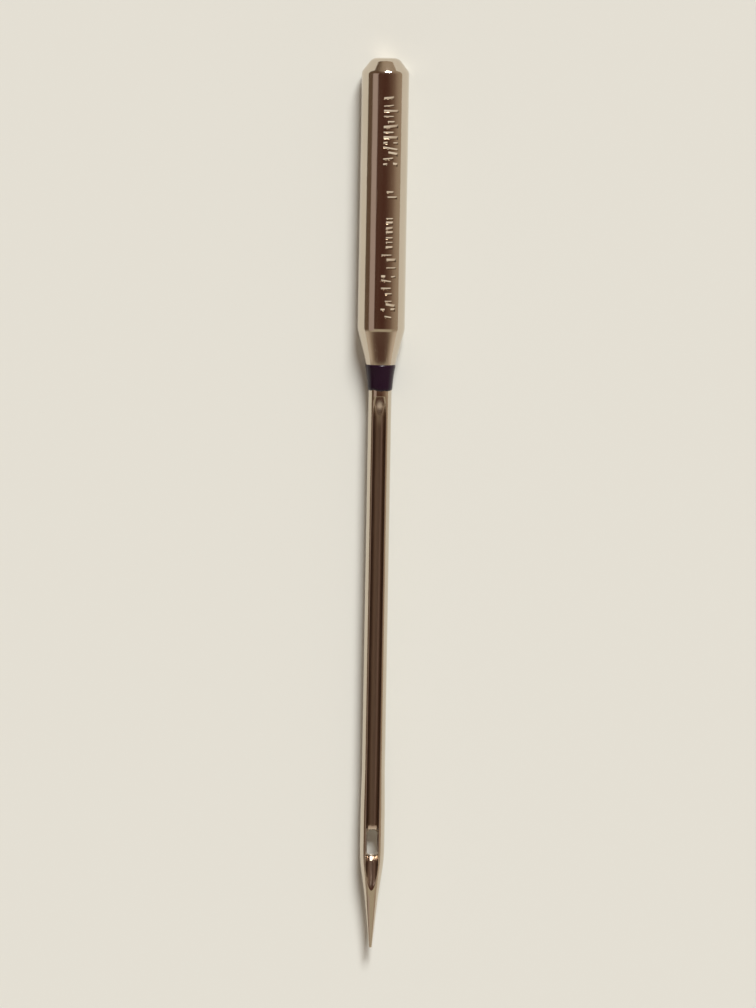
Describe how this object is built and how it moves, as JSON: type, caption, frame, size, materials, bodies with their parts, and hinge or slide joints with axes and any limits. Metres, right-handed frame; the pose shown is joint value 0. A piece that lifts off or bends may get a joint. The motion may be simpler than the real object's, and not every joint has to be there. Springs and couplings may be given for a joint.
{
  "type": "sewing machine needle",
  "caption": "Household sewing machine needle with a flat-backed shank, tapered shoulder with a purple lacquer band, long thread groove, eye, scarf and slim point.",
  "frame": {"origin": "middle of the needle's footprint, on the plane of the shank's flat", "axes": "+Y runs along the needle from the point to the butt, +Z comes out of the long groove and away from the flat, +X is to the right with the butt up"},
  "size_m": [0.002, 0.0386, 0.0016],
  "materials": {
    "plated_steel": "polished nickel plate over ground steel",
    "size_lacquer": "thin gloss lacquer"
  },
  "bodies": {
    "root": {"needle": "plated_steel", "size_band": "size_lacquer"}
  },
  "joints": []
}
